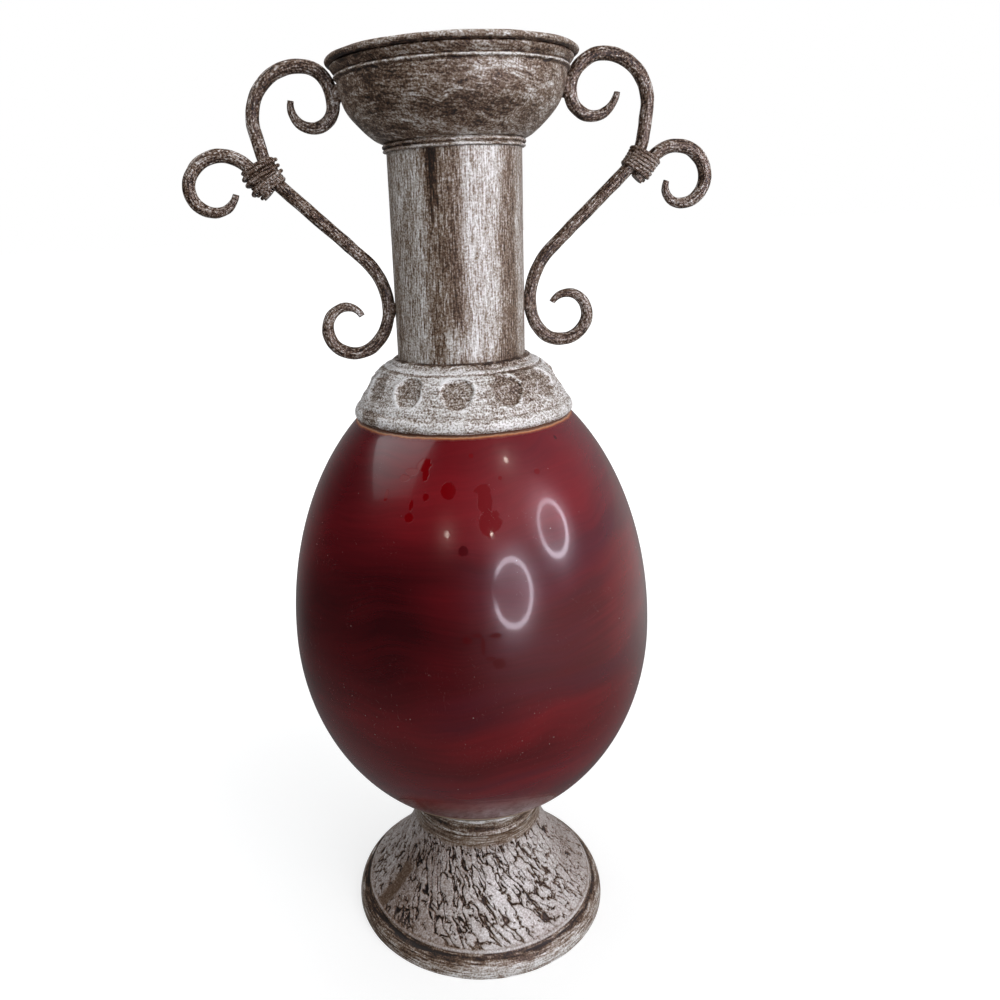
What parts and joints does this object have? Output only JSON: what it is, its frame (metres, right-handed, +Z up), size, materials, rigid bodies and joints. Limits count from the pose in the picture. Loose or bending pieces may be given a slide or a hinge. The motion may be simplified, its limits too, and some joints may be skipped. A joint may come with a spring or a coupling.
{
  "type": "vase",
  "caption": "Tall metal vase with an egg body, trumpet foot, straight neck, bowl mouth, dimpled collar and two scroll handles bound with wire.",
  "frame": {"origin": "centre of the foot's underside, on the floor, on the vase's axis", "axes": "+Z up along the vase's axis, +X towards the right-hand handle, -Y towards the viewer"},
  "size_m": [0.3174, 0.24, 0.58],
  "materials": {
    "antique_paint": "matte brown-taupe paint, dry-brushed pale grey",
    "pale_paint": "matte grey paint with white dry-brushing",
    "bark_cast": "matte, raised pinkish-grey pads over dark brown crevices",
    "brown_paint": "satin dark brown paint",
    "red_lacquer": "glossy deep maroon lacquer, clouded and chipped",
    "wrought_iron": "dark brown bar, speckled with pale dry-brushing",
    "iron_wire": "dark brown wire, dry-brushed on its crests",
    "zinc_steel": "plain zinc-plated steel"
  },
  "bodies": {
    "root": {"foot_ring": "antique_paint", "foot_bell": "bark_cast", "foot_ferrule": "brown_paint", "egg_lower_half": "red_lacquer", "egg_upper_half": "red_lacquer", "collar": "pale_paint", "neck_tube": "antique_paint", "neck_ring": "antique_paint", "mouth_bowl": "antique_paint", "handle_rod_left": "wrought_iron", "handle_rod_right": "wrought_iron", "branch_rod_left": "wrought_iron", "branch_rod_right": "wrought_iron", "wire_wrap_left": "iron_wire", "wire_wrap_right": "iron_wire", "neck_weld_left_front": "wrought_iron", "neck_weld_left_back": "wrought_iron", "neck_weld_right_front": "wrought_iron", "neck_weld_right_back": "wrought_iron", "bowl_weld_left_front": "wrought_iron", "bowl_weld_left_back": "wrought_iron", "bowl_weld_right_front": "wrought_iron", "bowl_weld_right_back": "wrought_iron", "foot_bolt": "zinc_steel", "bolt_washer_lower": "zinc_steel", "bolt_washer_upper": "zinc_steel", "foot_nut": "zinc_steel"}
  },
  "joints": []
}
